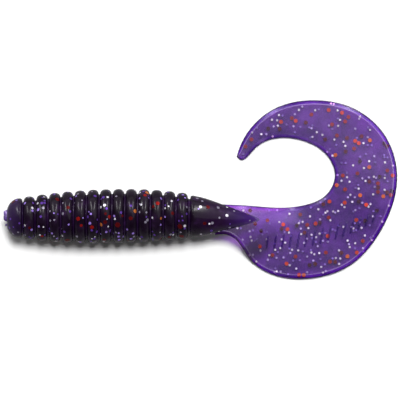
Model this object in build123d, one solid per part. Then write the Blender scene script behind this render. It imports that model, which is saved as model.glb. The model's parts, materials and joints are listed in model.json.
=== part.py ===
"""Soft plastic grub with a curled sickle tail, lying on its side on a flat surface.

Millimetres.  +X runs from the nose to the tail, +Z is up, and the origin is the centre of the
nose face, on the body's axis.  The lure is cast in one pour of soft vinyl.  It is divided here
where it bends: at every groove between two rings, and along six fold lines across the tail.
"""
from build123d import *
import math
import os
import random

# ---------------------------------------------------------------- body, mm
BODY_R = 5.46              # largest ring radius, which is also the height of the axis
BODY_R_AT = 21.4           # distance of the thickest ring from the nose face
BODY_TAPER = 0.0043        # radius lost per square mm of distance from the thickest place
RINGS = 13
FIRST_RING_AT = 4.47       # crest of the first ring
RING_PITCH = 2.592
RING_WIDTH = 2.12
RING_HEIGHT = 0.95         # crest above the core
RING_ROUND = 0.85          # rounding of a ring's two shoulders

NOSE_FACE_R = 1.5          # flat face left where the runner met the nose
HEAD_ROUND_LENGTH = 2.85   # the nose face rounds out to the head's full radius over this length
HEAD_R = 3.85

# The soft body lies with a slight sideways bow: distance from the nose, offset of its centre.
CENTRE_LINE = ((0, 0), (5, 0), (20, 0.38), (28.5, 0.52), (36, 0.43), (50.9, -0.3))

# ---------------------------------------------------------------- necks between rings
NECK_BALL_R = 1.5          # ball end of the section in front of each groove
NECK_CLEARANCE = 0.05
NECK_GAP = 0.03            # between the two end faces, at the axis
BEND_RANGE = 5.0           # degrees each way at one groove, where the rings come together

# ---------------------------------------------------------------- tail
TAIL_THICKNESS = 1.2
RIM_ROUND = 0.45           # rounding of the tail's edge, above and below
DROOP_START = 44.5         # the blade leaves the body's axis here
DROOP_END = 61.5           # and lies flat on the surface from here on
FAN_CENTRE = (61.5, 8.7)   # all fold lines of the curl run out from here
FAN_FOLDS = (-90, -45, 0, 45, 90)
LAST_ANGLE = 170           # the tip lies before this angle
ROOT_FOLD_AT = 0.5 * (DROOP_START + DROOP_END)
FOLD_CLEARANCE = 0.08
CONE = ((37.8, 4.22), (39.1, 4.0), (41.2, 3.51), (43.2, 2.88), (45.4, 2.2),
        (47.5, 1.52), (49.5, 0.86), (50.9, 0.34))      # distance from the nose, radius

INNER_EDGE = ((43.0, 2.8), (49.3, 2.5), (55.0, 2.1), (60.7, 2.7), (64.8, 4.7), (66.6, 8.7),
              (64.8, 13.0), (60.7, 15.6), (55.0, 16.3), (50.1, 13.9), (47.4, 11.9))
OUTER_EDGE = ((46.8, 13.2), (49.3, 18.1), (55.0, 22.6), (62.3, 24.0), (69.6, 22.7), (76.7, 17.0),
              (79.3, 8.1), (76.1, -2.4), (69.6, -9.7), (61.5, -12.3), (54.2, -11.6), (49.3, -8.4),
              (46.9, -4.9), (44.8, -3.5), (42.0, -3.5))
TIP = (46.6, 12.45)

# ---------------------------------------------------------------- glitter
COPPER_ACROSS = 0.86       # flats of a hexagonal flake, 0.035 inch
SILVER_ACROSS = 0.50       # 0.020 inch
FLAKE_THICKNESS = 0.05
FLAKE_MARGIN = 0.12        # vinyl left around a flake
SEEN_DEPTH = 1.6           # flakes deeper than this in the dark body can't be seen
BODY_FLAKES = ((COPPER_ACROSS, 4), (SILVER_ACROSS, 7))      # size and count in each section
TAIL_FLAKES = ((COPPER_ACROSS, 11), (SILVER_ACROSS, 16))

CHIN = -BODY_R             # the surface that everything lies on
BLADE_Z = CHIN + TAIL_THICKNESS / 2
REACH = 60                 # longer than any cut across the tail


def envelope(x):
    """Radius of the line that touches all ring crests."""
    return BODY_R - BODY_TAPER * (x - BODY_R_AT) ** 2


def crest(i):
    return FIRST_RING_AT + RING_PITCH * i


def groove(i):
    """Middle of the groove in front of ring i."""
    return crest(i) - RING_PITCH / 2


def core(i):
    return envelope(groove(i)) - RING_HEIGHT


def bow(x):
    """Sideways offset of the body's centre line at x."""
    spans = list(zip(CENTRE_LINE, CENTRE_LINE[1:]))
    (x0, y0), (x1, y1) = next((s for s in spans if x <= s[1][0]), spans[-1])
    return y0 + (y1 - y0) * (x - x0) / (x1 - x0)


def onto_centre_line(shape, start, end):
    """Moves a section that was made along X onto the centre line between two places on it."""
    turn = math.degrees(math.atan2(bow(end) - bow(start), end - start))
    return Pos(start, bow(start), 0) * Rot(0, 0, turn) * Pos(-start, 0, 0) * shape


# ---------------------------------------------------------------- turned sections
def polar_about(centre, radius, degrees):
    angle = math.radians(degrees)
    return (centre[0] + radius * math.cos(angle), centre[1] + radius * math.sin(angle))


def neck_face(i, side):
    """Where the sloping end face at groove i starts at the ball and ends at the core."""
    ball = NECK_BALL_R if side < 0 else NECK_BALL_R + NECK_CLEARANCE
    slope = math.tan(math.radians(BEND_RANGE / 2 + 0.3))
    start = polar_about((0, 0), ball, 90 - BEND_RANGE / 2 - 0.3 - math.degrees(NECK_GAP / ball))
    inner = (groove(i) + side * start[0], start[1])
    outer = (groove(i) + side * (NECK_GAP + core(i) * slope), core(i))
    return inner, outer


def ball_end(i):
    """The convex end behind a section, and the end face around it, from the rim inwards."""
    inner, outer = neck_face(i, -1)
    over = polar_about((groove(i), 0), NECK_BALL_R, 45)
    pole = (groove(i) + NECK_BALL_R, 0)
    return [Line(outer, inner), ThreePointArc(inner, over, pole)]


def socket_end(i):
    """The concave front of a section, and the end face around it, from the axis outwards."""
    inner, outer = neck_face(i, +1)
    socket = NECK_BALL_R + NECK_CLEARANCE
    over = polar_about((groove(i), 0), socket, 45)
    pole = (groove(i) + socket, 0)
    return [ThreePointArc(pole, over, inner), Line(inner, outer)]


def ring_outline(i):
    """Side, rounded shoulder, crest, shoulder and side of ring i, front to back."""
    front = crest(i) - RING_WIDTH / 2
    back = crest(i) + RING_WIDTH / 2
    top_front = envelope(front)
    top_back = envelope(back)
    bend = RING_ROUND * (1 - math.sqrt(0.5))
    return [
        Line((front, core(i)), (front, top_front - RING_ROUND)),
        ThreePointArc((front, top_front - RING_ROUND), (front + bend, top_front - bend),
                      (front + RING_ROUND, top_front)),
        Line((front + RING_ROUND, top_front), (back - RING_ROUND, top_back)),
        ThreePointArc((back - RING_ROUND, top_back), (back - bend, top_back - bend),
                      (back, top_back - RING_ROUND)),
        Line((back, top_back - RING_ROUND), (back, core(i + 1))),
    ]


def turned(edges):
    """Spin a half outline about the body's axis, after closing it along that axis."""
    closing = Line(edges[-1] @ 1, edges[0] @ 0)
    return revolve(make_face(edges + [closing]), Axis.X, 360)


def make_ring(i):
    front = socket_end(i)
    outline = ring_outline(i)
    back = ball_end(i + 1)
    ledge_front = Line(front[-1] @ 1, outline[0] @ 0)
    ledge_back = Line(outline[-1] @ 1, back[0] @ 0)
    ring = turned(front + [ledge_front] + outline + [ledge_back] + back)
    return onto_centre_line(ring, groove(i), groove(i + 1))


def make_head():
    back = ball_end(0)
    nose = [
        Line((0, 0), (0, NOSE_FACE_R)),
        EllipticalCenterArc((HEAD_ROUND_LENGTH, NOSE_FACE_R), HEAD_ROUND_LENGTH,
                            HEAD_R - NOSE_FACE_R, start_angle=180, arc_size=-90),
    ]
    side = Line(nose[1] @ 1, back[0] @ 0)
    return onto_centre_line(turned(nose + [side] + back), 0, groove(0))


def make_gate():
    """The torn stub that the runner left on the nose, a little off the axis."""
    stub = Plane.YZ * Pos(0.35, 0.1) * Ellipse(1.05, 0.8)
    tip = Plane.YZ.offset(-0.7) * Pos(0.3, -0.15) * Ellipse(0.6, 0.45)
    return loft([stub.face(), tip.face()])


# ---------------------------------------------------------------- tail
def droop_radius():
    """Radius of the two equal arcs that take the blade down from the axis to the surface."""
    run = (DROOP_END - DROOP_START) / 2
    half_turn = math.atan2(-BLADE_Z / 2, run)
    return run / math.sin(2 * half_turn)


def droop_angle(x):
    """Degrees that the blade slopes down at x."""
    reach = max(0.0, min(x - DROOP_START, DROOP_END - x))
    return math.degrees(math.asin(reach / droop_radius()))


def droop_z(x):
    """Height of the blade's middle surface at x, along the stretch behind the body."""
    drop = droop_radius() * (1 - math.cos(math.radians(droop_angle(x))))
    return -drop if x < ROOT_FOLD_AT else BLADE_Z + drop


def plan_face():
    inner = Spline([Vector(*p) for p in INNER_EDGE])
    outer = Spline([Vector(*p) for p in OUTER_EDGE])
    tip = ThreePointArc(inner @ 1, Vector(*TIP), outer @ 0)
    root = Line(outer @ 1, inner @ 0)
    return make_face([inner, tip, outer, root])


def sloping_band():
    """A wide strip of the blade's thickness that comes down from the axis to the surface."""
    angle = droop_angle(ROOT_FOLD_AT)
    radius = droop_radius()
    sides = []
    for offset in (TAIL_THICKNESS / 2, -TAIL_THICKNESS / 2):
        lead = Line((OUTER_EDGE[-1][0], offset), (DROOP_START, offset))
        over = CenterArc((DROOP_START, -radius), radius + offset, 90, -angle)
        under = CenterArc((DROOP_END, BLADE_Z + radius), radius - offset, 270 - angle, angle)
        sides += [lead, over, under]
    ends = [Line(sides[0] @ 0, sides[3] @ 0), Line(sides[2] @ 1, sides[5] @ 1)]
    return extrude(Plane.XZ * make_face(sides + ends), REACH, both=True)


def make_blade():
    """The whole tail blade with its rounded rim, before it is divided at the folds."""
    plan = plan_face()
    before_curl = Pos(DROOP_END - REACH / 2, FAN_CENTRE[1] - REACH / 2, 0) * Box(REACH, REACH, REACH)
    curl = extrude(Pos(0, 0, CHIN) * plan, TAIL_THICKNESS) - before_curl
    slope = sloping_band() & extrude(Pos(0, 0, -REACH / 2) * plan, REACH) & before_curl
    blade = curl + slope
    rim = [e for e in blade.edges() if e.geom_type != GeomType.LINE and e.length > TAIL_THICKNESS]
    return fillet(rim, RIM_ROUND)


def fan_direction(degrees):
    return Vector(math.cos(math.radians(degrees)), math.sin(math.radians(degrees)), 0)


def fold_rod(fold, radius):
    """A rod along a fold line: the parent's rounded end, or the room for it in the child."""
    centre, direction = fold
    return Plane(origin=centre, z_dir=direction) * Pos(0, 0, REACH / 2) * Cylinder(radius, REACH)


def folds():
    """Start point and direction of each fold line, from the root to the tip."""
    root = (Vector(ROOT_FOLD_AT, FAN_CENTRE[1], droop_z(ROOT_FOLD_AT)), Vector(0, -1, 0))
    centre = Vector(*FAN_CENTRE, BLADE_Z)
    return [root] + [(centre, fan_direction(a)) for a in FAN_FOLDS]


def wedge(start, end):
    """Everything between two fold lines of the curl."""
    corners = [fan_direction(start) * REACH, fan_direction((start + end) / 2) * REACH * 1.5,
               fan_direction(end) * REACH]
    outline = Polyline([Vector(0, 0, 0)] + corners, close=True)
    return Pos(*FAN_CENTRE, -REACH / 2) * extrude(make_face(outline), REACH)


def beyond_root_fold():
    """Everything behind the first fold line, square to the sloping blade."""
    centre, _ = folds()[0]
    tilt = droop_angle(ROOT_FOLD_AT)
    return Pos(*centre) * Rot(0, tilt, 0) * Pos(REACH / 2, 0, 0) * Box(REACH, 3 * REACH, REACH)


def divide_blade(blade):
    """The root's share of the blade and the six segments, each with a rounded far end."""
    ahead = Pos(DROOP_END - REACH / 2, FAN_CENTRE[1] - REACH / 2, 0) * Box(REACH, REACH, REACH)
    behind = beyond_root_fold()
    shares = [(blade & ahead) - behind, blade & ahead & behind]
    spans = list(zip(FAN_FOLDS, FAN_FOLDS[1:] + (LAST_ANGLE,)))
    shares += [blade & wedge(start, end) for start, end in spans]
    lines = folds()
    pieces = []
    for k, share in enumerate(shares):
        if k < len(lines):
            share = share + (blade & fold_rod(lines[k], TAIL_THICKNESS / 2))
        if k > 0:
            share = share - fold_rod(lines[k - 1], TAIL_THICKNESS / 2 + FOLD_CLEARANCE)
        pieces.append(share.solids().sort_by(SortBy.VOLUME)[-1])
    return pieces


def make_tail_root(web):
    """The smooth cone behind the last ring, bending down with the blade that grows out of it."""
    front = socket_end(RINGS)
    start, shoulder_r = CONE[0]
    side = start - RING_ROUND
    collar = [
        Line(front[-1] @ 1, (side, core(RINGS))),
        Line((side, core(RINGS)), (side, shoulder_r - RING_ROUND)),
        ThreePointArc((side, shoulder_r - RING_ROUND),
                      polar_about((start, shoulder_r - RING_ROUND), RING_ROUND, 135),
                      (start, shoulder_r)),
        Line((start, shoulder_r), CONE[1]),
        Line(CONE[1], (CONE[1][0], 0)),
    ]
    circles = []
    for x, radius in CONE[1:]:
        tilt = math.radians(droop_angle(x))
        across = Plane(origin=(x, 0, droop_z(x)), z_dir=(math.cos(tilt), 0, -math.sin(tilt)))
        circles.append((across * Circle(radius)).face())
    cone = turned(front + collar) + loft(circles)
    return onto_centre_line(cone, groove(RINGS), CONE[-1][0]) + web


# ---------------------------------------------------------------- glitter
def flake(across, spot, facing):
    """One hexagonal flake, flat side towards facing."""
    hexagon = RegularPolygon(across / 2, 6, major_radius=False)
    place = Plane(origin=spot, z_dir=facing)
    return (place * extrude(hexagon, FLAKE_THICKNESS / 2, both=True)).solid()


def fits(host, across, spot, facing):
    """Whether a flake there, with vinyl all round it, is inside the section."""
    place = Plane(origin=spot, z_dir=facing)
    corner = across / math.sqrt(3) + FLAKE_MARGIN
    around = [fan_direction(60 * k) * corner for k in range(6)]
    around += [Vector(0, 0, FLAKE_MARGIN), Vector(0, 0, -FLAKE_MARGIN)]
    return all(host.is_inside(place.from_local_coords(p)) for p in around)


def body_spot(draw, box):
    """A random place near the skin of the round body, with a random facing."""
    x = draw.uniform(box.min.X, box.max.X)
    angle = draw.uniform(0, 2 * math.pi)
    radius = envelope(x) - draw.uniform(0.2, SEEN_DEPTH)
    spot = Vector(x, bow(x) + radius * math.cos(angle), radius * math.sin(angle))
    facing = Vector(draw.gauss(0, 1), draw.gauss(0, 1), draw.gauss(0, 1))
    return spot, facing


def blade_spot(draw, box):
    """A random place in the blade, with the flake nearly flat in it."""
    x = draw.uniform(box.min.X, box.max.X)
    y = draw.uniform(box.min.Y, box.max.Y)
    sloping = x < DROOP_END and y < FAN_CENTRE[1]
    tilt = math.radians(droop_angle(x)) if sloping else 0.0
    middle = droop_z(x) if sloping else BLADE_Z
    spot = Vector(x, y, middle + draw.uniform(-0.35, 0.35))
    facing = Vector(math.sin(tilt) + draw.gauss(0, 0.12), draw.gauss(0, 0.12), math.cos(tilt))
    return spot, facing


def scatter(host, find_spot, counts, seed):
    """Flakes of each size at random places in a section, none touching another."""
    draw = random.Random(seed)
    box = host.bounding_box()
    taken = []
    groups = []
    for across, count in counts:
        group = []
        while len(group) < count:
            spot, facing = find_spot(draw, box)
            crowded = any((spot - other).length < (across + size) * 0.65 for other, size in taken)
            if crowded or not fits(host, across, spot, facing):
                continue
            taken.append((spot, across))
            group.append(flake(across, spot, facing))
        groups.append(group)
    return groups


# ---------------------------------------------------------------- all nodes
def build():
    """Every node, by name."""
    nodes = {"gate_stub": make_gate(), "head": make_head()}
    for i in range(RINGS):
        nodes[f"ring_{i + 1:02d}"] = make_ring(i)
    pieces = divide_blade(make_blade())
    nodes["tail_root"] = make_tail_root(pieces[0])
    for k, piece in enumerate(pieces[1:], start=1):
        nodes[f"tail_{k}"] = piece

    round_sections = [n for n in nodes if n.startswith("ring_")] + ["head", "tail_root"]
    for seed, name in enumerate(round_sections):
        host = nodes[name].solid()
        copper, silver = scatter(host, body_spot, BODY_FLAKES, seed)
        nodes[f"flakes_{name}"] = Compound(copper + silver)
    for k in range(1, len(pieces)):
        host = nodes[f"tail_{k}"]
        copper, silver = scatter(host, blade_spot, TAIL_FLAKES, 100 + k)
        nodes[f"copper_flakes_tail_{k}"] = Compound(copper)
        nodes[f"silver_flakes_tail_{k}"] = Compound(silver)
    return nodes


def main():
    os.makedirs("parts", exist_ok=True)
    for name, shape in build().items():
        export_step(shape, f"parts/{name}.step")


if __name__ == "__main__":
    main()
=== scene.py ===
"""Looks of a soft plastic curly-tail grub lying on a white table, seen from straight above.

Lengths are in millimetres and are turned into metres where a mesh is made.  The vinyl skin is a
chain of pieces: each one runs from the middle of one section to the middle of the next, across the
joint between them.
"""
import json
import math
import random

import bpy
import numpy as np
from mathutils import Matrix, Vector


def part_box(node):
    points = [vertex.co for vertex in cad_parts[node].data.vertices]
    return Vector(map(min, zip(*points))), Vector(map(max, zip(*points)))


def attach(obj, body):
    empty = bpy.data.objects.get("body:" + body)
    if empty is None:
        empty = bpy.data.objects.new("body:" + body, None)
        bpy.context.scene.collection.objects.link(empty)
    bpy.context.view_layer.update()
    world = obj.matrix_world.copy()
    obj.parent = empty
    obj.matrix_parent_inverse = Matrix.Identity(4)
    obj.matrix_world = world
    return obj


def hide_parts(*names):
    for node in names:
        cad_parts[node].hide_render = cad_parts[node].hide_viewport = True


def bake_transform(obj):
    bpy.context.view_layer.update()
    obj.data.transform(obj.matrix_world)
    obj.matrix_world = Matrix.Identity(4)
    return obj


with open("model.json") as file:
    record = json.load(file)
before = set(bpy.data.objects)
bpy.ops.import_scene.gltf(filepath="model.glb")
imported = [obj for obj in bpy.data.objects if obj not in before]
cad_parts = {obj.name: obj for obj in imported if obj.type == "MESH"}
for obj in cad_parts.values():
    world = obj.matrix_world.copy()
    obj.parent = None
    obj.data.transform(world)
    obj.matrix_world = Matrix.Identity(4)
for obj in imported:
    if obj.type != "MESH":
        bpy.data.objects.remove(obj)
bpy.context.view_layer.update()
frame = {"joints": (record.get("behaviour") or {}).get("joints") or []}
MM = 0.001

# ---------------------------------------------------------------- sizes from the frame
GROOVE_JOINTS = [j for j in frame["joints"] if j["name"].startswith("body_")]
FOLD_JOINTS = [j for j in frame["joints"] if j["name"].startswith("tail_")]
GROOVES = [joint["pos_m"][0] / MM for joint in GROOVE_JOINTS]
BOW = [joint["pos_m"][1] / MM for joint in GROOVE_JOINTS]      # the body's slight sideways bow
RINGS = [f"ring_{k + 1:02d}" for k in range(len(GROOVES) - 1)]
CRESTS = [(a + b) / 2 for a, b in zip(GROOVES, GROOVES[1:])]


def half_height(node):
    low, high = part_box(node)
    return (high.z - low.z) / 2 / MM


CREST_R = [half_height(ring) for ring in RINGS]
HEAD_SWELL = 0.16          # how much fuller the head is than its CAD solid
HEAD_R = half_height("head") + HEAD_SWELL
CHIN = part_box("tail_3")[0].z / MM                      # the surface that the lure lies on
THICK = 2 * half_height("tail_3")
ROOT_FOLD = Vector(FOLD_JOINTS[0]["pos_m"]) / MM
FAN = Vector(FOLD_JOINTS[1]["pos_m"]) / MM             # the curl's fold lines run out from here
FOLD_ANGLES = [math.degrees(math.atan2(j["axis"][1], j["axis"][0])) for j in FOLD_JOINTS[1:]]

# ---------------------------------------------------------------- shapes of the casting
RING_HALF_WIDTH = 1.13
RING_HEIGHT = 0.95         # of a crest above the grooves beside it
RING_SQUARENESS = 2.25     # 2 is a half round ring, more is squarer
GROOVE_FILLET = 0.12
HEAD_STEP = 0.2            # how much deeper the first groove is than its ring alone would make it
CONE_STEP = 0.25           # the same for the last groove
NOSE_FACE_R = 1.5
HEAD_ROUND = 2.55          # length of the nose's dome, from its flat face to its crest
HEAD_SHOULDER = 0.56       # length of the rounded drop behind the crest
HEAD_FULLNESS = 1.12       # 1 is an elliptical dome, more is leaner
CRUMB = Vector((-0.12, -1.42, 0.2))
CRUMB_HALF = (0.26, 0.22, 0.24)        # half its length, width and height
SHOULDER_LENGTH = 0.62     # of the cone's rounded front, behind the last groove
CONE_END = ((0.25, 0.12), (0.3, 0.0))    # how the cone closes past its last station, and the radius
CONE = ((37.8, 4.22), (39.1, 4.0), (41.2, 3.51), (43.2, 2.88), (45.4, 2.2),
        (47.5, 1.52), (49.5, 0.86), (50.9, 0.34))
CONE_TIP_Y = -0.3
INNER_EDGE = ((43.0, 2.8), (49.3, 2.5), (55.0, 2.1), (60.7, 2.7), (64.8, 4.7), (66.6, 8.7),
              (64.8, 13.0), (60.7, 15.6), (55.0, 16.3), (50.1, 13.9), (47.4, 11.9), (46.6, 12.45))
OUTER_EDGE = ((42.0, -3.5), (44.8, -3.5), (46.9, -4.9), (49.3, -8.4), (54.2, -11.6), (61.5, -12.3),
              (69.6, -9.7), (76.1, -2.4), (79.3, 8.1), (76.7, 17.0), (69.6, 22.7), (62.3, 24.0),
              (55.0, 22.6), (49.3, 18.1), (46.8, 13.2), (46.6, 12.45))
RIM_HALF = 0.6             # half the rim's full height; RIM's second column is on this scale
RIM = ((0.0, 0.0), (0.03, 0.2), (0.1, 0.31), (0.3, 0.40), (0.55, 0.50), (0.68, 0.575), (0.76, 0.6),
       (0.84, 0.585), (0.94, 0.57))      # distance in from the edge, and half height
SIDE_FALL = 0.5            # how much sooner the blade's outer side comes down
TIP_THICK = 0.75           # the tip's thickness as a share of the root's
AROUND = 128               # points around the body
ACROSS = 22                # points across the tail between its rims


def smooth_curve(points, count):
    """Points along a smooth curve through the given ones: a natural cubic spline."""
    p = np.array(points, float)
    t = np.concatenate([[0], np.cumsum(np.linalg.norm(np.diff(p, axis=0), axis=1))])
    h = np.diff(t)
    n = len(p)
    system = np.eye(n)
    right = np.zeros_like(p)
    for i in range(1, n - 1):
        system[i, i - 1:i + 2] = h[i - 1], 2 * (h[i - 1] + h[i]), h[i]
        right[i] = 6 * ((p[i + 1] - p[i]) / h[i] - (p[i] - p[i - 1]) / h[i - 1])
    bend = np.linalg.solve(system, right)
    at = np.linspace(0, t[-1], count)
    k = np.clip(np.searchsorted(t, at, side="right") - 1, 0, n - 2)
    a = ((t[k + 1] - at) / h[k])[:, None]
    b = 1 - a
    square = (h[k] ** 2)[:, None] / 6
    return a * p[k] + b * p[k + 1] + ((a ** 3 - a) * bend[k] + (b ** 3 - b) * bend[k + 1]) * square


# ---------------------------------------------------------------- mesh helpers
def new_mesh(name, vertices, faces, material, colours=None):
    """A smooth mesh object, from millimetres, with an optional colour for each vertex."""
    mesh = bpy.data.meshes.new(name)
    mesh.from_pydata([tuple(c * MM for c in v) for v in vertices], [], faces)
    mesh.shade_smooth()
    if colours is not None:
        layer = mesh.color_attributes.new("tint", "FLOAT_COLOR", "POINT")
        layer.data.foreach_set("color", np.array(colours, np.float32).ravel())
    mesh.materials.append(material)
    mesh.update()
    obj = bpy.data.objects.new(name, mesh)
    bpy.context.scene.collection.objects.link(obj)
    return obj


def grid_faces(rows, columns, closed=True):
    """Quads of a grid with the given rows, whose columns may close on themselves."""
    faces = []
    for i in range(rows - 1):
        for j in range(columns if closed else columns - 1):
            k = (j + 1) % columns
            faces.append((i * columns + j, i * columns + k, (i + 1) * columns + k, (i + 1) * columns + j))
    return faces


# ---------------------------------------------------------------- materials
class Nodes:
    """A small helper that adds and links shader nodes."""

    def __init__(self, name):
        self.material = bpy.data.materials.new(name)
        self.material.use_nodes = True
        self.tree = self.material.node_tree
        self.tree.nodes.clear()

    def add(self, kind, inputs=None, **settings):
        node = self.tree.nodes.new(kind)
        for key, value in settings.items():
            setattr(node, key, value)
        for key, value in (inputs or {}).items():
            if isinstance(value, bpy.types.NodeSocket):
                self.tree.links.new(value, node.inputs[key])
            else:
                node.inputs[key].default_value = value
        return node

    def noise(self, scale, detail=3.0, roughness=0.5):
        place = self.add("ShaderNodeTexCoord").outputs["Object"]
        return self.add("ShaderNodeTexNoise",
                        {"Vector": place, "Scale": scale, "Detail": detail, "Roughness": roughness})

    def ramp(self, value, stops):
        node = self.add("ShaderNodeValToRGB", {"Fac": value})
        while len(node.color_ramp.elements) < len(stops):
            node.color_ramp.elements.new(0.5)
        for element, (position, colour) in zip(node.color_ramp.elements, stops):
            element.position = position
            element.color = (*colour, 1)
        return node.outputs["Color"]

    def multiply(self, first, second):
        node = self.add("ShaderNodeMix", {"Factor": 1.0}, data_type="RGBA", blend_type="MULTIPLY")
        self.tree.links.new(first, node.inputs["A"])
        self.tree.links.new(second, node.inputs["B"])
        return node.outputs["Result"]

    def finish(self, shader):
        output = self.add("ShaderNodeOutputMaterial")
        self.tree.links.new(shader, output.inputs["Surface"])
        return self.material


def body_vinyl():
    """Vinyl so thick that it is almost black, with a wet gloss."""
    m = Nodes("body_vinyl")
    swirl = m.noise(420.0, 4.0)
    colour = m.ramp(swirl.outputs["Fac"], [(0.3, (0.004, 0.001, 0.005)), (0.58, (0.010, 0.004, 0.014)),
                                           (0.75, (0.030, 0.009, 0.050))])
    # the tint attribute adds a painted glow: light shining through the vinyl at the nose, grooves, cone and
    # tip
    tint = m.add("ShaderNodeVertexColor", layer_name="tint").outputs["Color"]
    glow = m.add("ShaderNodeMix", {"Factor": 1.0}, data_type="RGBA", blend_type="ADD")
    m.tree.links.new(colour, glow.inputs["A"])
    m.tree.links.new(tint, glow.inputs["B"])
    film = m.noise(900.0, 2.0)
    rough = m.add("ShaderNodeMapRange", {"Value": film.outputs["Fac"], "From Min": 0.3, "From Max": 0.7,
                                         "To Min": 0.12, "To Max": 0.26})
    grain = m.noise(2600.0, 2.0)
    bump = m.add("ShaderNodeBump", {"Strength": 0.10, "Distance": 0.00004, "Height": grain.outputs["Fac"]})
    shader = m.add("ShaderNodeBsdfPrincipled", {
        "Base Color": glow.outputs["Result"], "Roughness": rough.outputs["Result"],
        "IOR": 1.30, "Normal": bump.outputs["Normal"]})
    return m.finish(shader.outputs["BSDF"])


def tail_vinyl(name, clear, dense, haze):
    """Clear purple vinyl: what is behind it shows, tinted in slow swirls, under a glossy skin."""
    m = Nodes(name)
    swirl = m.noise(260.0, 5.0, 0.68)
    through = m.ramp(swirl.outputs["Fac"], [(0.36, dense), (0.64, clear)])
    # on the blade the tint attribute carries painted light: dark edges, a light line, sheen and glare; its
    # alpha scales the haze
    tint_node = m.add("ShaderNodeVertexColor", layer_name="tint")
    tint = tint_node.outputs["Color"]
    window = m.add("ShaderNodeBsdfTransparent", {"Color": m.multiply(through, tint)})
    cloud = m.noise(60.0, 2.0)
    milk = m.ramp(cloud.outputs["Fac"], [(0.35, (0.26, 0.17, 0.42)), (0.7, (0.46, 0.36, 0.60))])
    scatter = m.add("ShaderNodeBsdfDiffuse", {"Color": milk})
    amount = m.add("ShaderNodeMath", {0: tint_node.outputs["Alpha"], 1: haze}, operation="MULTIPLY")
    inside = m.add("ShaderNodeMixShader", {"Fac": amount.outputs[0]})
    m.tree.links.new(window.outputs[0], inside.inputs[1])
    m.tree.links.new(scatter.outputs[0], inside.inputs[2])
    film = m.noise(500.0, 2.0)
    rough = m.add("ShaderNodeMapRange", {"Value": film.outputs["Fac"], "From Min": 0.3, "From Max": 0.7,
                                         "To Min": 0.16, "To Max": 0.30})
    grain = m.noise(1500.0, 2.0)
    bump = m.add("ShaderNodeBump", {"Strength": 0.12, "Distance": 0.00006, "Height": grain.outputs["Fac"]})
    gloss = m.add("ShaderNodeBsdfGlossy", {"Roughness": rough.outputs["Result"],
                                           "Normal": bump.outputs["Normal"]})
    fresnel = m.add("ShaderNodeFresnel", {"IOR": 1.4, "Normal": bump.outputs["Normal"]})
    skin = m.add("ShaderNodeMixShader", {"Fac": fresnel.outputs["Fac"]})
    m.tree.links.new(inside.outputs[0], skin.inputs[1])
    m.tree.links.new(gloss.outputs[0], skin.inputs[2])
    return m.finish(skin.outputs[0])


def glitter(name, metallic, roughness):
    """Metallised film: the tint of each flake tells how deep in the vinyl it lies."""
    m = Nodes(name)
    tint = m.add("ShaderNodeVertexColor", layer_name="tint").outputs["Color"]
    fleck = m.noise(3500.0, 1.0)
    shade = m.ramp(fleck.outputs["Fac"], [(0.3, (0.75, 0.75, 0.75)), (0.7, (1.0, 1.0, 1.0))])
    shader = m.add("ShaderNodeBsdfPrincipled", {
        "Base Color": m.multiply(tint, shade), "Metallic": metallic, "Roughness": roughness, "IOR": 1.15})
    return m.finish(shader.outputs["BSDF"])


def torn_vinyl():
    """The thin torn edge of the runner: pale where it is stretched."""
    m = Nodes("torn_vinyl")
    patches = m.noise(1400.0, 3.0)
    colour = m.ramp(patches.outputs["Fac"], [(0.35, (0.045, 0.018, 0.12)), (0.55, (0.16, 0.09, 0.34)),
                                             (0.7, (0.42, 0.32, 0.62))])
    bump = m.add("ShaderNodeBump", {"Strength": 0.5, "Distance": 0.0001, "Height": patches.outputs["Fac"]})
    shader = m.add("ShaderNodeBsdfPrincipled", {"Base Color": colour, "Roughness": 0.38, "IOR": 1.4,
                                                "Normal": bump.outputs["Normal"]})
    return m.finish(shader.outputs["BSDF"])


BODY_VINYL = body_vinyl()
TAIL_TOP = tail_vinyl("tail_vinyl_upper", (0.93, 0.86, 0.985), (0.85, 0.76, 0.94), 0.08)
TAIL_UNDER = tail_vinyl("tail_vinyl_under", (0.30, 0.108, 0.49), (0.185, 0.058, 0.335), 0.02)
RIDGE_VINYL = tail_vinyl("tail_vinyl_ridges", (0.93, 0.88, 0.98), (0.86, 0.78, 0.95), 0.02)
STUB_VINYL = torn_vinyl()
COPPER = glitter("copper_glitter", 0.35, 0.35)
SILVER = glitter("silver_glitter", 0.25, 0.30)

# ---------------------------------------------------------------- the round body
def ring_quarter(crest, radius, core, side, count=12):
    """Outline points from a ring's crest down its front (side -1) or back (side +1)."""
    points = []
    height = radius - core
    last = math.acos(min(1.0, (GROOVE_FILLET / height) ** (RING_SQUARENESS / 2)))
    for k in range(count + 1):
        angle = last * k / count
        across = RING_HALF_WIDTH * math.sin(angle) ** (2 / RING_SQUARENESS)
        up = height * math.cos(angle) ** (2 / RING_SQUARENESS)
        points.append((crest + side * across, core + up))
    return points


def groove_floor(left, right, core, count=6):
    """Outline points of a groove's rounded floor, between two rings' feet."""
    points = []
    for k in range(1, count):
        across = 2 * k / count - 1
        points.append((left + (right - left) * k / count, core + GROOVE_FILLET * abs(across) ** 3))
    return points


def core_radius(k):
    """Radius at the bottom of groove k."""
    beside = [CREST_R[i] for i in (k - 1, k) if 0 <= i < len(CREST_R)]
    if k == 0:
        beside = [CREST_R[0] - HEAD_STEP]
    if k == len(CREST_R):
        beside = [CREST_R[-1] - CONE_STEP]
    return sum(beside) / len(beside) - RING_HEIGHT


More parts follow.
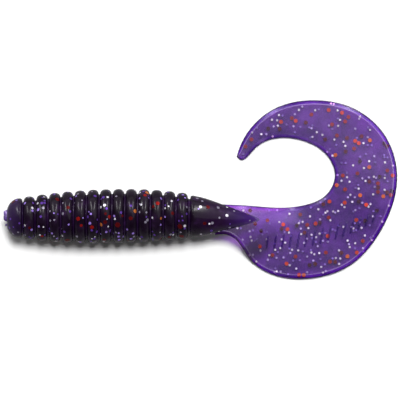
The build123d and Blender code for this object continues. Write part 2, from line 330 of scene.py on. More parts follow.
def nose_outline():
    """Flat nose face, dome and rounded shoulder, from the axis to the foot of the first groove."""
    points = [(0.0, 0.0), (0.0, NOSE_FACE_R * 0.5), (0.0, NOSE_FACE_R * 0.85), (0.01, NOSE_FACE_R)]
    for k in range(1, 21):
        angle = math.pi / 2 * k / 20
        points.append((HEAD_ROUND * (1 - math.cos(angle)),
                       NOSE_FACE_R + (HEAD_R - NOSE_FACE_R) * math.sin(angle) ** HEAD_FULLNESS))
    foot = core_radius(0) + GROOVE_FILLET
    for k in range(1, 9):
        angle = math.pi / 2 * k / 8
        points.append((HEAD_ROUND + HEAD_SHOULDER * math.sin(angle) ** 0.8,
                       foot + (HEAD_R - foot) * math.cos(angle) ** 0.8))
    return points


def cone_outline():
    """Shoulder and smooth cone, with the radius against the distance along the axis."""
    start, radius = CONE[0]
    core = core_radius(len(RINGS))
    rise = []
    for k in range(9):
        angle = math.pi / 2 * k / 8
        rise.append((start - SHOULDER_LENGTH * math.cos(angle), core + GROOVE_FILLET
                     + (radius - core - GROOVE_FILLET) * math.sin(angle) ** 0.7))
    curve = smooth_curve(CONE, 60)
    close = [(CONE[-1][0] + past, end_radius) for past, end_radius in CONE_END]
    return rise + [tuple(p) for p in curve[1:]] + close


def body_stretch(k):
    """Outline of skin piece k, from the middle of one section to the middle of the next."""
    core = core_radius(k)
    if k == 0:
        before = nose_outline()
    else:
        before = ring_quarter(CRESTS[k - 1], CREST_R[k - 1], core, +1)
    if k == len(RINGS):
        after = cone_outline()
    else:
        after = ring_quarter(CRESTS[k], CREST_R[k], core, -1)[::-1]
    return before + groove_floor(before[-1][0], after[0][0], core) + after


def droop(x):
    """Height and slope (radians) of the blade's middle surface at x behind the body."""
    start = 2 * ROOT_FOLD.x - FAN.x
    t = min(1.0, max(0.0, (x - start) / (FAN.x - start)))
    steepness = FAN.z * 30 * t * t * (1 - t) ** 2 / (FAN.x - start)
    return FAN.z * t ** 3 * (10 - 15 * t + 6 * t * t), math.atan(-steepness)


def bow(x):
    """Sideways offset of the body's centre line at x."""
    return float(np.interp(x, [0.0] + GROOVES + [CONE[-1][0]], [0.0] + BOW + [CONE_TIP_Y]))


def thin_vinyl_painted_glow(x, radius):
    """Painted glow of light through the vinyl's own purple, where it is thin: nose, grooves, cone and tip.
    """
    tip = min(1.0, max(0.0, (x - 43.5) / 6.5)) ** 1.3
    cone = min(1.0, max(0.0, (x - 38.0) / 3.0))
    nose = max(0.0, 1 - x / 4.0)
    groove = 0.0
    if GROOVES[0] - 1 < x < GROOVES[-1] + 0.5:
        nearest = min(range(len(GROOVES)), key=lambda k: abs(GROOVES[k] - x))
        groove = min(1.0, max(0.0, 1 - (radius - core_radius(nearest)) / 0.7))
    return (0.005 * cone + 0.036 * tip + 0.019 * nose + 0.006 * groove,
            0.011 * tip + 0.009 * nose + 0.001 * groove,
            0.010 * cone + 0.130 * tip + 0.044 * nose + 0.014 * groove, 1)


def body_piece(k, outline):
    """Skin piece k: its outline turned about the bowed centre line."""
    vertices = []
    colours = []
    for x, radius in outline:
        centre_z, slope = droop(x)
        for j in range(AROUND):
            angle = 2 * math.pi * j / AROUND
            across, up = radius * math.cos(angle), radius * math.sin(angle)
            vertices.append((x + up * math.sin(slope), bow(x) + across, centre_z + up * math.cos(slope)))
            colours.append(thin_vinyl_painted_glow(x, radius))
    faces = grid_faces(len(outline), AROUND)
    return new_mesh(f"body_skin_{k + 1:02d}", vertices, faces, BODY_VINYL, colours)


def make_body():
    """The body's skin, one piece for each groove."""
    sections = ["head"] + RINGS + ["tail_root"]
    for k, groove in enumerate(GROOVES):
        piece = body_piece(k, body_stretch(k))
        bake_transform(piece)
        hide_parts(*(["head", "ring_01"] if k == 0 else [sections[k + 1]]))


def make_gate_stub():
    """The ragged stub that the torn runner left on the nose."""
    draw = random.Random(5)
    low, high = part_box("gate_stub")
    middle_y, middle_z = (low.y + high.y) / 2 / MM, (low.z + high.z) / 2 / MM
    half_y, half_z = (high.y - low.y) / 2 / MM, (high.z - low.z) / 2 / MM
    reach = low.x / MM
    around = 28
    ragged = [0.92 + 0.24 * math.sin(3 * t + 0.6) + 0.18 * math.sin(5 * t) + draw.uniform(-0.12, 0.08)
              for t in (2 * math.pi * j / around for j in range(around))]
    stages = [(0.12, 1.0), (0.0, 1.02), (-0.15, 0.9), (reach * 0.5, 0.86), (reach * 0.75, 0.80),
              (reach * 0.95, 0.66), (reach, 0.45), (reach * 0.86, 0.25)]
    vertices = []
    for x, size in stages:
        for j, wave in enumerate(ragged):
            t = 2 * math.pi * j / around
            depth = x * (1 + 0.16 * math.sin(4 * t + 1)) if x < -0.2 else x
            vertices.append((max(depth, reach), middle_y + half_y * size * wave * math.cos(t),
                             middle_z + half_z * size * wave * math.sin(t)))
    faces = grid_faces(len(stages), around)
    faces = [face[::-1] for face in faces]
    vertices += [(stages[0][0], middle_y, middle_z), (stages[-1][0], middle_y, middle_z)]
    first, last = len(vertices) - 2, (len(stages) - 1) * around
    for j in range(around):
        k = (j + 1) % around
        faces.append((first, k, j))
        faces.append((first + 1, last + j, last + k))
    stub = new_mesh("torn_stub", vertices, faces, STUB_VINYL)
    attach(stub, "head")
    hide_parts("gate_stub")
    make_crumb(draw)


def make_crumb(draw):
    """A crumb of torn vinyl on the nose, beside the stub."""
    rings, around = 7, 12
    vertices = []
    for i in range(rings):
        polar = math.pi * (i + 0.5) / rings
        for j in range(around):
            turn = 2 * math.pi * j / around
            size = draw.uniform(0.85, 1.12)
            vertices.append((CRUMB.x - CRUMB_HALF[0] * size * math.cos(polar),
                             CRUMB.y + CRUMB_HALF[1] * size * math.sin(polar) * math.cos(turn),
                             CRUMB.z + CRUMB_HALF[2] * size * math.sin(polar) * math.sin(turn)))
    faces = grid_faces(rings, around)
    faces.append(tuple(range(around)))
    faces.append(tuple((rings - 1) * around + j for j in reversed(range(around))))
    crumb = new_mesh("torn_crumb", vertices, faces, STUB_VINYL)
    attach(crumb, "head")


# ---------------------------------------------------------------- the tail blade
INNER = smooth_curve(INNER_EDGE, 700)
OUTER = smooth_curve(OUTER_EDGE, 1100)


def curl_part(curve):
    """The part of an edge that goes round the fan centre."""
    return curve[int(np.argmax(curve[:, 0] > FAN.x)) - 1:]


def polar_of(curve):
    """Angle in degrees and radius of each point about the fan centre."""
    dx = curve[:, 0] - FAN.x
    dy = curve[:, 1] - FAN.y
    return np.degrees(np.unwrap(np.arctan2(dy, dx))), np.hypot(dx, dy)


INNER_CURL, OUTER_CURL = curl_part(INNER), curl_part(OUTER)
INNER_ANGLE, INNER_R = polar_of(INNER_CURL)
OUTER_ANGLE, OUTER_R = polar_of(OUTER_CURL)
LAST_RADIAL = 112.0        # beyond this angle the cross lines fan in towards the tip
PATH_STEP = 1.25           # degrees between cross lines


def edge_at(angle, angles, radii):
    """Point of an edge at a path angle about the fan centre."""
    radius = float(np.interp(angle, angles, radii))
    return np.array([FAN.x + radius * math.cos(math.radians(angle)),
                     FAN.y + radius * math.sin(math.radians(angle))])


def edge_y(curve, x):
    """Height in the plan of an edge at x, ahead of the fan centre."""
    part = curve[(curve[:, 1] < FAN.y) & (curve[:, 0] < FAN.x + 0.5)]
    return float(np.interp(x, part[:, 0], part[:, 1]))


def rest_of(curve, angles, radii, count):
    """Points from the last radial line to the tip, closer together near the tip."""
    start = int(np.argmax(angles > LAST_RADIAL))
    part = np.vstack([edge_at(LAST_RADIAL, angles, radii), curve[start:]])
    along = np.concatenate([[0], np.cumsum(np.linalg.norm(np.diff(part, axis=0), axis=1))])
    spaced = along[-1] * (1 - (1 - np.linspace(0, 1, count)) ** 1.25)
    return np.column_stack([np.interp(spaced, along, part[:, 0]), np.interp(spaced, along, part[:, 1])])


def cross_lines():
    """(inner point, outer point, path angle) of every line across the blade, root to tip."""
    lines = []
    for x in np.arange(42.2, FAN.x, 0.34):
        lines.append((np.array([x, edge_y(INNER, x)]), np.array([x, edge_y(OUTER, x)]), -90 - (FAN.x - x)))
    for angle in np.arange(-90, LAST_RADIAL, PATH_STEP):
        lines.append((edge_at(angle, INNER_ANGLE, INNER_R), edge_at(angle, OUTER_ANGLE, OUTER_R), angle))
    count = 56
    inner = rest_of(INNER_CURL, INNER_ANGLE, INNER_R, count)
    outer = rest_of(OUTER_CURL, OUTER_ANGLE, OUTER_R, count)
    for i, o in zip(inner[:-1], outer[:-1]):
        middle = (i + o) / 2
        lines.append((i, o, math.degrees(math.atan2(middle[1] - FAN.y, middle[0] - FAN.x))))
    return lines


def thinning(angle):
    """The blade's thickness at a path angle, as a share of its thickness at the root."""
    share = min(1.0, max(0.0, (angle + 60) / 220))
    return 1 - (1 - TIP_THICK) * share


def blade_lie(x, y, half):
    """Height of the blade's middle and its slope along X; the outer side sinks to the table first."""
    if x < FAN.x and y < FAN.y:
        ahead = SIDE_FALL * max(0.0, -y - 1.0) ** 1.3 * min(1.0, max(0.0, (x - 43.0) / 4.0))
        height, slope = droop(x + ahead)
        return max(height, CHIN + half), slope
    return CHIN + half, 0.0


def cross_section(line):
    """Loop of points around the blade at one cross line: over the top, then back underneath."""
    inner, outer, angle = line
    width = float(np.linalg.norm(outer - inner))
    half = THICK / 2 * thinning(angle) * min(1.0, (width / 1.7) ** 0.8)
    squeeze = min(1.0, 0.42 * width / RIM[-1][0])
    rim = [(a * squeeze, h / RIM_HALF * half) for a, h in RIM]
    edge, level = rim[-1]
    flat = [(edge + (width - 2 * edge) * k / ACROSS, level) for k in range(1, ACROSS)]
    top = rim + flat + [(width - a, h) for a, h in rim[::-1]]
    loop = [(a, h) for a, h in top] + [(a, -h) for a, h in top[-2:0:-1]]
    points = []
    for a, h in loop:
        x, y = inner + (outer - inner) * (a / max(width, 1e-6))
        middle, slope = blade_lie(x, y, half)
        points.append((x + h * math.sin(slope), y, middle + h * math.cos(slope)))
    return points, len(top)


# red, green and blue of the window and the share of haze, point by point in from each edge: painted shade
# darkens each edge, a saturated band without haze stands in for the rim reflecting the dark room, and
# inside the outer rim a lighter, hazier line is a painted highlight
INNER_RIM_PAINTED_LIGHT = ((0.25, 0.16, 0.42, 0), (0.44, 0.30, 0.64, 0), (0.88, 0.62, 1.0, 0.3), (1.0, 0.78, 1.05, 0.3),
               (1.05, 0.82, 1.15, 0.5), (1.0, 0.9, 1.05, 1))
OUTER_RIM_PAINTED_LIGHT = ((0.22, 0.13, 0.38, 0), (0.42, 0.28, 0.66, 0), (0.95, 0.62, 1.08, 0), (1.06, 0.72, 1.16, 0),
               (1.02, 0.74, 1.12, 0.2), (1.0, 0.80, 1.08, 0.6), (1.6, 1.8, 1.4, 7.0), (1.1, 1.1, 1.08, 1.4))


def ease(value, low, high):
    """Smooth step from 0 at low to 1 at high."""
    t = min(1.0, max(0.0, (value - low) / (high - low)))
    return t * t * (3 - 2 * t)


def clearness_and_painted_glare(x, y, angle, share):
    """Gains for the tint and the haze: lighter towards the tip, where the blade is thinner, and hazier
    there as a painted sheen; beside the cone lighter and hazier as a painted glare.
    """
    # towards the tip the thinner blade lets more through, and the extra haze there is a painted sheen of
    # reflected light
    far = ease(angle, -40, 20) * ease(share, 0.05, 0.5) * (1 - 0.35 * ease(angle, 60, 110))
    # a painted glare beside the cone, where the sloped blade catches the light
    root_glare = math.exp(-((x - 53.0) / 6.5) ** 2 - ((y + 0.2) / 3.0) ** 2)
    red_green = 1.02 + 0.14 * far + 0.34 * root_glare
    return red_green, red_green + 0.05 * far, 1.02 + 0.10 * far + 0.32 * root_glare, 1.0 + 0.9 * far + 1.5 * root_glare


def painted_rim_light(j, loop, top):
    """Tint and haze of a loop's point j: painted shade at the edges, a painted highlight line inside the
    outer rim.
    """
    columns = top if j < top else loop - top
    place = j if j < top else j - top
    inner = place if j < top else columns - 1 - place
    outer = columns - 1 - inner
    if inner < len(INNER_RIM_PAINTED_LIGHT):
        return INNER_RIM_PAINTED_LIGHT[inner]
    return OUTER_RIM_PAINTED_LIGHT[outer] if outer < len(OUTER_RIM_PAINTED_LIGHT) else (1, 1, 1, 1)


def blade_rows(lines):
    """Loops of points for the cross lines, and how many of each loop's points are on top."""
    rows = []
    for line in lines:
        points, top = cross_section(line)
        rows.append(points)
    return rows, top


def blade_piece(name, lines, tip):
    """One stretch of the blade's skin, closed at the tip if it is the last."""
    rows, top = blade_rows(lines)
    loop = len(rows[0])
    vertices = [p for row in rows for p in row]
    faces = grid_faces(len(rows), loop)
    colours = []
    for row, (inner, outer, angle) in zip(rows, lines):
        width = max(0.1, float(np.linalg.norm(outer - inner)))
        for j, (x, y, _) in enumerate(row):
            # the rim shade and highlight line are painted, and the gains add painted sheen and glare
            clear = clearness_and_painted_glare(x, y, angle, math.hypot(x - inner[0], y - inner[1]) / width)
            colours.append(tuple(c * g for c, g in zip(painted_rim_light(j, loop, top), clear)))
    if tip:
        end = np.mean(np.array(rows[-1]), axis=0)
        end[:2] = INNER[-1]
        vertices.append(tuple(end))
        # the tip's end point takes a darker tint, painted shade like the edges'
        colours.append((0.5, 0.4, 0.7, 1))
        first = (len(rows) - 1) * loop
        faces += [(first + j, first + (j + 1) % loop, len(vertices) - 1) for j in range(loop)]
    piece = new_mesh(name, vertices, faces, TAIL_TOP, colours)
    piece.data.materials.append(TAIL_UNDER)
    for face in piece.data.polygons:
        column = min(v % loop for v in face.vertices) if face.index < len(rows) * loop else 0
        if face.normal.z < -0.05 and column >= top - 1:
            face.material_index = 1
    return piece


# path angles where one skin piece of the blade ends and the next one starts
SPLITS = [-90 - (FAN.x - ROOT_FOLD.x) / 2] + [(a + b) / 2 for a, b in zip(FOLD_ANGLES, FOLD_ANGLES[1:])]


def span(k):
    """Path angles where blade piece k starts and ends."""
    low = -999.0 if k == 0 else SPLITS[k - 1]
    high = SPLITS[k] if k < len(SPLITS) else 999.0
    return low, high


def bend_blade(piece):
    """Bakes a piece's transform into its mesh."""
    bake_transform(piece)


def make_blade():
    """The tail's skin in stretches, one for each fold line."""
    lines = cross_lines()
    for k in range(len(FOLD_JOINTS)):
        low, high = span(k)
        inside = [i for i, line in enumerate(lines) if low <= line[2] < high]
        share = lines[inside[0]:inside[-1] + 2]
        piece = blade_piece(f"tail_skin_{k + 1}", share, tip=k == len(FOLD_JOINTS) - 1)
        bend_blade(piece)
        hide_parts(f"tail_{k + 1}")


# ---------------------------------------------------------------- fin rays
RAYS = 15
RAY_FROM, RAY_TO = (52.6, -4.9), (74.6, 0.2)       # middles of the first and last ray
RAY_SAG = 1.3              # the row bows away from the straight line between them
RAY_LENGTH = 3.6
RAY_WIDTH = 0.46
RAY_HEIGHT = 0.10
RAY_SINK = 0.01            # the ridge's foot starts this far below the blade's surface
RAY_TINT = (0.84, 0.76, 0.92, 0.5)


def path_angle(x, y):
    """How far along the blade a point is, in degrees round the fan centre; less than -90 before it."""
    if x < FAN.x and y < FAN.y:
        return -90 - (FAN.x - x)
    return math.degrees(math.atan2(y - FAN.y, x - FAN.x))


def fin_ray(centre, lean, length):
    """One low rounded ridge on the blade's upper side, as vertices and faces."""
    along, across, rows = 12, 8, []
    heading = Vector((math.sin(lean), math.cos(lean)))
    side = Vector((heading.y, -heading.x))
    for i in range(along + 1):
        t = 2 * i / along - 1
        swell = math.sqrt(max(0.0, 1 - abs(t) ** 6)) + 0.02
        row = []
        for j in range(across + 1):
            u = 2 * j / across - 1
            x = centre[0] + heading.x * t * length / 2 + side.x * u * swell * RAY_WIDTH / 2
            y = centre[1] + heading.y * t * length / 2 + side.y * u * swell * RAY_WIDTH / 2
            half = THICK / 2 * thinning(path_angle(x, y))
            middle, slope = blade_lie(x, y, half)
            rise = (RAY_HEIGHT + RAY_SINK) * swell * math.sqrt(max(0.0, 1 - u * u))
            level = half * RIM[-1][1] / RIM_HALF - RAY_SINK + rise
            row.append((x + level * math.sin(slope), y, middle + level * math.cos(slope)))
        rows.append(row)
    vertices = [p for row in rows for p in row]
    columns = across + 1
    top = grid_faces(along + 1, columns, closed=False)
    rim = [j for j in range(columns)] + [i * columns + across for i in range(1, along + 1)]
    rim += [along * columns + j for j in range(across - 1, -1, -1)]
    rim += [i * columns for i in range(along - 1, 0, -1)]
    return vertices, top + [tuple(rim)]


def make_fin_rays():
    """A row of shallow ridges, in one mesh for each skin piece that they lie on."""
    lots = {}
    for n in range(RAYS):
        t = n / (RAYS - 1)
        sag = 4 * t * (1 - t) * RAY_SAG
        centre = (RAY_FROM[0] + (RAY_TO[0] - RAY_FROM[0]) * t + 0.25 * sag,
                  RAY_FROM[1] + (RAY_TO[1] - RAY_FROM[1]) * t - sag)
        length = RAY_LENGTH * (0.75 + 0.25 * math.sin(math.pi * t))
        k = sum(path_angle(*centre) >= split for split in SPLITS)
        lots.setdefault(k, []).append(fin_ray(centre, 0.10 + 0.22 * t, length))
    for k, rays in lots.items():
        vertices, faces = [], []
        for ray_vertices, ray_faces in rays:
            first = len(vertices)
            vertices += ray_vertices
            faces += [tuple(first + v for v in face) for face in ray_faces]
        piece = new_mesh(f"fin_rays_{k + 1}", vertices, faces, RIDGE_VINYL, [RAY_TINT] * len(vertices))
        bend_blade(piece)


# ---------------------------------------------------------------- glitter
COPPER_ACROSS = 0.77
SILVER_ACROSS = 0.42
FLAKE_THICK = 0.05
BODY_FLAKE_SIZES = (0.75, 0.95, 1.05, 1.2, 1.4)
DEEP_LOOK = 0.95           # flakes in the dark body look smaller than the ones in the clear tail
WIDEST = 5.8               # radius at which a flake is kept for certain, so that the spread is even
END_ROOM = 0.8             # a flake's room at both ends of a section, as a share of its width
LIFT = 0.012               # a flake at the skin stands this proud, so that it shows
FLAKE_COVER = 0.06         # vinyl over the highest flakes in the tail
FLAKE_SPREAD = 0.5         # how much deeper the lowest ones lie

TAIL_COPPER = [((0.84, 0.070, 0.0), 4), ((0.40, 0.024, 0.002), 6), ((0.13, 0.010, 0.006), 5),
               ((0.05, 0.006, 0.012), 3), ((0.98, 0.20, 0.01), 2)]
TAIL_SILVER = [((1.0, 0.98, 1.0), 6), ((0.62, 0.50, 0.85), 3), ((0.30, 0.18, 0.60), 4)]
BODY_COPPER = [((0.32, 0.010, 0.008), 4), ((0.11, 0.005, 0.007), 5), ((0.60, 0.17, 0.04), 1)]
BODY_SILVER = [((0.88, 0.84, 0.96), 3), ((0.40, 0.25, 0.85), 4), ((0.13, 0.05, 0.38), 7),
               ((0.30, 0.27, 0.36), 4)]


def pick(draw, palette):
    """A flake's tint: a colour drawn by its weight, then made a little darker or lighter."""
    colours = [c for c, weight in palette for _ in range(weight)]
    colour = draw.choice(colours)
    gain = draw.uniform(0.75, 1.1)
    return tuple(min(1.0, c * gain) for c in colour) + (1,)


def hexagon_points(across, spin):
    """Corners and edge middles of a hexagon, a smaller one inside it, and the centre."""
    corner = across / math.sqrt(3)
    points = []
    for k in range(12):
        reach = corner if k % 2 == 0 else corner * math.cos(math.pi / 6)
        points.append((reach * math.cos(spin + math.pi * k / 6), reach * math.sin(spin + math.pi * k / 6)))
    for k in range(6):
        turn = spin + math.pi * k / 3
        points.append((corner / 2 * math.cos(turn), corner / 2 * math.sin(turn)))
    return points + [(0.0, 0.0)]


def hexagon_faces():
    """Top faces over hexagon_points, then the same underneath, then the sides."""
    top = [(12 + k, 12 + (k + 1) % 6, 18) for k in range(6)]
    for k in range(6):
        a, b, c = 2 * k, 2 * k + 1, (2 * k + 2) % 12
        top += [(a, b, 12 + k), (b, c, 12 + (k + 1) % 6), (b, 12 + (k + 1) % 6, 12 + k)]
    under = [tuple(v + 19 for v in face[::-1]) for face in top]
    sides = [(k, k + 19, (k + 1) % 12 + 19, (k + 1) % 12) for k in range(12)]
    return top + under + sides


HEX_FACES = hexagon_faces()


def flakes_object(name, material, flakes):
    """One mesh of many flakes. Each is a list of 19 upper points, 19 lower points and a tint."""
    vertices, faces, colours = [], [], []
    for upper, lower, tint in flakes:
        first = len(vertices)
        vertices += upper + lower
        faces += [tuple(first + v for v in face) for face in HEX_FACES]
        colours += [tint] * 38
    obj = new_mesh(name, vertices, faces, material, colours)
    obj.data.shade_flat()
    return obj


def free_flake(spot, facing, across, spin, tint):
    """A flat flake anywhere in clear vinyl."""
    facing = Vector(facing).normalized()
    side = facing.orthogonal().normalized()
    other = facing.cross(side)
    half = facing * FLAKE_THICK / 2
    flat = [Vector(spot) + side * a + other * b for a, b in hexagon_points(across, spin)]
    return [tuple(p + half) for p in flat], [tuple(p - half) for p in flat], tint


def outline_walker(outline):
    """Gives the point and the outward normal at a distance along an outline of (x, radius)."""
    p = np.array(outline)
    along = np.concatenate([[0], np.cumsum(np.linalg.norm(np.diff(p, axis=0), axis=1))])

    def at(distance):
        x = float(np.interp(distance, along, p[:, 0]))
        radius = float(np.interp(distance, along, p[:, 1]))
        step = 0.08
        dx = float(np.interp(distance + step, along, p[:, 0]) - np.interp(distance - step, along, p[:, 0]))
        dr = float(np.interp(distance + step, along, p[:, 1]) - np.interp(distance - step, along, p[:, 1]))
        size = math.hypot(dx, dr) or 1.0
        return x, radius, -dr / size, dx / size

    return at, along[-1]


def skin_flake(at, distance, angle, across, spin, tint):
    """A flake just under the skin of the dark body, curved with it."""
    _, radius, _, _ = at(distance)
    upper, lower = [], []
    for a, b in hexagon_points(across, spin):
        x, r, nx, nr = at(distance + a)
        turn = angle + b / max(radius, 0.6)
        centre_z, slope = droop(x)
        for lift, side in ((LIFT, upper), (LIFT - FLAKE_THICK, lower)):
            reach = r + nr * lift
            along = x + nx * lift
            y, up = reach * math.cos(turn), reach * math.sin(turn)
            side.append((along + up * math.sin(slope), bow(x) + y, centre_z + up * math.cos(slope)))
    return upper, lower, tint


def body_flakes(name, outline, copper, silver, seed, taken_node):
    """Copper and silver flakes all over one section of the body."""
    draw = random.Random(seed)
    at, length = outline_walker(outline)
    sets = (("copper", COPPER, BODY_COPPER, COPPER_ACROSS * DEEP_LOOK, copper),
            ("silver", SILVER, BODY_SILVER, SILVER_ACROSS * DEEP_LOOK, silver))
    placed = []
    for kind, material, palette, across, count in sets:
        flakes = []
        while len(flakes) < count:
            size = across * draw.choice(BODY_FLAKE_SIZES)
            distance = draw.uniform(size * END_ROOM, length - size * END_ROOM)
            angle = draw.uniform(0, 2 * math.pi)
            radius = at(distance)[1]
            if draw.uniform(0, WIDEST) > radius:
                continue
            near = any(math.hypot(distance - d, (angle - a) * radius) < (size + w) * 0.55
                       for d, a, w in placed)
            if near:
                continue
            placed.append((distance, angle, size))
            flakes.append(skin_flake(at, distance, angle, size, draw.uniform(0, 1), pick(draw, palette)))
        piece = flakes_object(f"{kind}_glitter_{name}", material, flakes)
        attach(piece, name)
        if kind == "copper":
            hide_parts(taken_node)


def in_blade(x, y):
    """Path angle and distances from the two edges of a point in the blade's plan, or None."""
    if x < FAN.x and y < 5.0:
        if x < 46.0:
            return None
        top, bottom = edge_y(INNER, x), edge_y(OUTER, x)
        if not bottom < y < top:
            return None
        return -90 - (FAN.x - x), top - y, y - bottom
    angle = math.degrees(math.atan2(y - FAN.y, x - FAN.x))
    if not -90 <= angle < 163:
        return None
    radius = math.hypot(x - FAN.x, y - FAN.y)
    low = float(np.interp(angle, INNER_ANGLE, INNER_R))
    high = float(np.interp(angle, OUTER_ANGLE, OUTER_R))
    if not low < radius < high:
        return None
    return angle, radius - low, high - radius


def blade_flakes(copper, silver, seed):
    """Glitter all through the tail, in one mesh for each skin piece that it lies in."""
    draw = random.Random(seed)
    lots = {(kind, k): [] for kind in ("copper", "silver") for k in range(len(FOLD_JOINTS))}
    placed = []
    for kind, palette, across, count in (("copper", TAIL_COPPER, COPPER_ACROSS, copper),
                                         ("silver", TAIL_SILVER, SILVER_ACROSS, silver)):
        made = 0
        while made < count:
            x, y = draw.uniform(46, 79.5), draw.uniform(-12.5, 24.2)
            place = in_blade(x, y)
            if place is None or min(place[1:]) < across * 0.55 + 0.15:
                continue
            if any(math.hypot(x - px, y - py) < (across + w) * 0.52 for px, py, w in placed):
                continue
            angle = place[0]
            half = THICK / 2 * thinning(angle)
            middle, slope = blade_lie(x, y, half)
            under_rim = np.interp(min(place[1:]) - across * 0.5, [a for a, _ in RIM], [h for _, h in RIM])
            depth = half * float(under_rim) / RIM_HALF - FLAKE_COVER - FLAKE_SPREAD * draw.random() ** 2
            spot = (x + depth * math.sin(slope), y, middle + depth * math.cos(slope))
            facing = (math.sin(slope) + draw.gauss(0, 0.09), draw.gauss(0, 0.09), math.cos(slope))
            flake = free_flake(spot, facing, across, draw.uniform(0, 1), pick(draw, palette))
            k = sum(angle >= split for split in SPLITS)
            lots[kind, k].append(flake)
            placed.append((x, y, across))
            made += 1
    for (kind, k), flakes in lots.items():
        material = COPPER if kind == "copper" else SILVER
        piece = flakes_object(f"{kind}_glitter_tail_{k + 1}", material, flakes)
        bend_blade(piece)
        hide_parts(f"{kind}_flakes_tail_{k + 1}")


def make_glitter():
    """Glitter in every section."""
    body_flakes("head", nose_outline()[3:-4], 5, 18, 3, "flakes_head")
    for k, ring in enumerate(RINGS):
        core = core_radius(k)
        front = ring_quarter(CRESTS[k], CREST_R[k], core, -1)[::-1]
        back = ring_quarter(CRESTS[k], CREST_R[k], core_radius(k + 1), +1)
        body_flakes(ring, front + back[1:], 5, 26, 10 + k, f"flakes_{ring}")
    cone = [p for p in cone_outline() if 37.5 < p[0] < 50.0]
    body_flakes("tail_root", cone, 10, 46, 40, "flakes_tail_root")
    blade_flakes(84, 230, 77)


# ---------------------------------------------------------------- surroundings
FLOOR_GAP = 0.03           # keeps the blade's underside and the table apart


def make_stage():
    """A white table, which shows darker in the vinyl's gloss than it does to the camera: painted shade for
    the shadow it holds round the lure.
    """
    floor = bpy.data.meshes.new("floor")
    size = 3.0                                         # metres
    z = (CHIN - FLOOR_GAP) * MM
    floor.from_pydata([(-size, -size, z), (size, -size, z), (size, size, z), (-size, size, z)], [],
                      [(0, 1, 2, 3)])
    obj = bpy.data.objects.new("floor", floor)
    bpy.context.scene.collection.objects.link(obj)
    m = Nodes("white_table")
    seen = m.add("ShaderNodeBsdfDiffuse", {"Color": (0.93, 0.93, 0.93, 1)})
    # the darker copy, seen only in reflections, is painted shade for the table in shadow near the lure
    reflected = m.add("ShaderNodeBsdfDiffuse", {"Color": (0.28, 0.28, 0.28, 1)})
    path = m.add("ShaderNodeLightPath")
    shader = m.add("ShaderNodeMixShader", {"Fac": path.outputs["Is Glossy Ray"]})
    m.tree.links.new(seen.outputs[0], shader.inputs[1])
    m.tree.links.new(reflected.outputs[0], shader.inputs[2])
    floor.materials.append(m.finish(shader.outputs[0]))


SKY_LEVEL = 0.06
HORIZON_LEVEL = 0.22
WINDOW_AT = (96, 28)       # azimuth and elevation of the soft window's middle
WINDOW_END, WINDOW_FULL = 62, 30         # degrees from its middle where it ends and where it is full
WINDOW_LEVEL = 0.65


def direction(azimuth, elevation):
    a, e = math.radians(azimuth), math.radians(elevation)
    return Vector((math.cos(e) * math.cos(a), math.cos(e) * math.sin(a), math.sin(e)))


def make_sky():
    """A dim studio with a brighter horizon and one large soft window on the tail's side."""
    world = bpy.data.worlds.new("studio")
    bpy.context.scene.world = world
    world.use_nodes = True
    tree = world.node_tree
    tree.nodes.clear()
    add, link = tree.nodes.new, tree.links.new
    toward = add("ShaderNodeTexCoord").outputs["Generated"]

    def patch(value, zero_at, full_at, level):
        fade = add("ShaderNodeMapRange")
        fade.interpolation_type = "SMOOTHSTEP"
        link(value, fade.inputs["Value"])
        for name, number in (("From Min", zero_at), ("From Max", full_at), ("To Max", level)):
            fade.inputs[name].default_value = number
        return fade.outputs["Result"]

    def plus(first, second):
        total = add("ShaderNodeMath")
        link(first, total.inputs[0])
        link(second, total.inputs[1])
        return total.outputs[0]

    split = add("ShaderNodeSeparateXYZ")
    link(toward, split.inputs[0])
    total = patch(split.outputs["Z"], 0.42, 0.12, HORIZON_LEVEL)
    dot = add("ShaderNodeVectorMath")
    dot.operation = "DOT_PRODUCT"
    link(toward, dot.inputs[0])
    dot.inputs[1].default_value = direction(*WINDOW_AT)
    total = plus(total, patch(dot.outputs["Value"], math.cos(math.radians(WINDOW_END)),
                              math.cos(math.radians(WINDOW_FULL)), WINDOW_LEVEL))
    base = add("ShaderNodeMath")
    link(total, base.inputs[0])
    base.inputs[1].default_value = SKY_LEVEL
    background = add("ShaderNodeBackground")
    background.inputs["Color"].default_value = (1, 1, 1, 1)
    link(base.outputs[0], background.inputs["Strength"])
    link(background.outputs["Background"], add("ShaderNodeOutputWorld").inputs["Surface"])


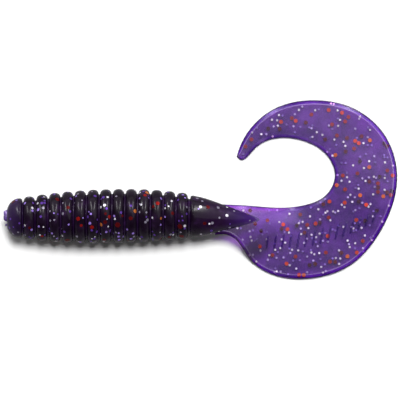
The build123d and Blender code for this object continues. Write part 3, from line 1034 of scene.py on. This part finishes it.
def strip_light(name, azimuth, elevation, width, height, power, distance=0.6):
    """A tall soft box at a compass angle (0 is +X, 90 is +Y), aimed at the lure."""
    target = Vector((0.035, 0.0, 0.0))
    offset = direction(azimuth, elevation) * distance
    light = bpy.data.lights.new(name, "AREA")
    light.shape = "RECTANGLE"
    light.size = width
    light.size_y = height
    light.energy = power
    obj = bpy.data.objects.new(name, light)
    obj.location = target + offset
    obj.rotation_euler = (-offset).to_track_quat("-Z", "Y").to_euler()
    obj.visible_diffuse = False
    obj.visible_camera = False
    bpy.context.scene.collection.objects.link(obj)


def sheen_light(azimuth, elevation, half_angle, brightness, distance=0.6):
    """A round soft box that only shows as a reflection in the gloss."""
    offset = direction(azimuth, elevation) * distance
    light = bpy.data.lights.new(f"sheen_{half_angle}", "AREA")
    light.shape = "DISK"
    light.size = 2 * distance * math.tan(math.radians(half_angle))
    light.energy = brightness * math.pi * math.pi * (light.size / 2) ** 2
    obj = bpy.data.objects.new(light.name, light)
    obj.location = Vector((0.055, 0.0, 0.0)) + offset
    obj.rotation_euler = (-offset).to_track_quat("-Z", "Y").to_euler()
    obj.visible_diffuse = False
    obj.visible_camera = False
    bpy.context.scene.collection.objects.link(obj)


def key_light(azimuth, elevation, spread, strength):
    """The main light, which falls on everything but makes no highlight of its own."""
    light = bpy.data.lights.new("key", "SUN")
    light.angle = math.radians(spread)
    light.energy = strength
    obj = bpy.data.objects.new("key", light)
    obj.rotation_euler = (-direction(azimuth, elevation)).to_track_quat("-Z", "Y").to_euler()
    obj.visible_glossy = False
    bpy.context.scene.collection.objects.link(obj)


FRAME_WIDTH = 0.08132      # metres seen across the picture, at the height of AIM
AIM = (0.03913, 0.00366, -0.0025)


def make_camera():
    """Straight above AIM, and far away."""
    data = bpy.data.cameras.new("camera")
    data.sensor_width = 36.0
    data.lens = 500.0
    obj = bpy.data.objects.new("camera", data)
    obj.location = (AIM[0], AIM[1], AIM[2] + FRAME_WIDTH * data.lens / data.sensor_width)
    bpy.context.scene.collection.objects.link(obj)
    bpy.context.scene.camera = obj


make_camera()
make_sky()
strip_light("window_left", 116, 38, 0.05, 0.42, 1.4)
strip_light("window_right", 64, 38, 0.05, 0.42, 1.4)
for half_angle in range(8, 30, 3):     # one inside the other, so that the highlight fades out softly
    sheen_light(32, 52, half_angle, 0.85)
key_light(80, 72.8, 18, 3.35)
make_stage()
make_body()
make_gate_stub()
make_blade()
make_fin_rays()
make_glitter()
bpy.context.scene.view_settings.view_transform = "Standard"
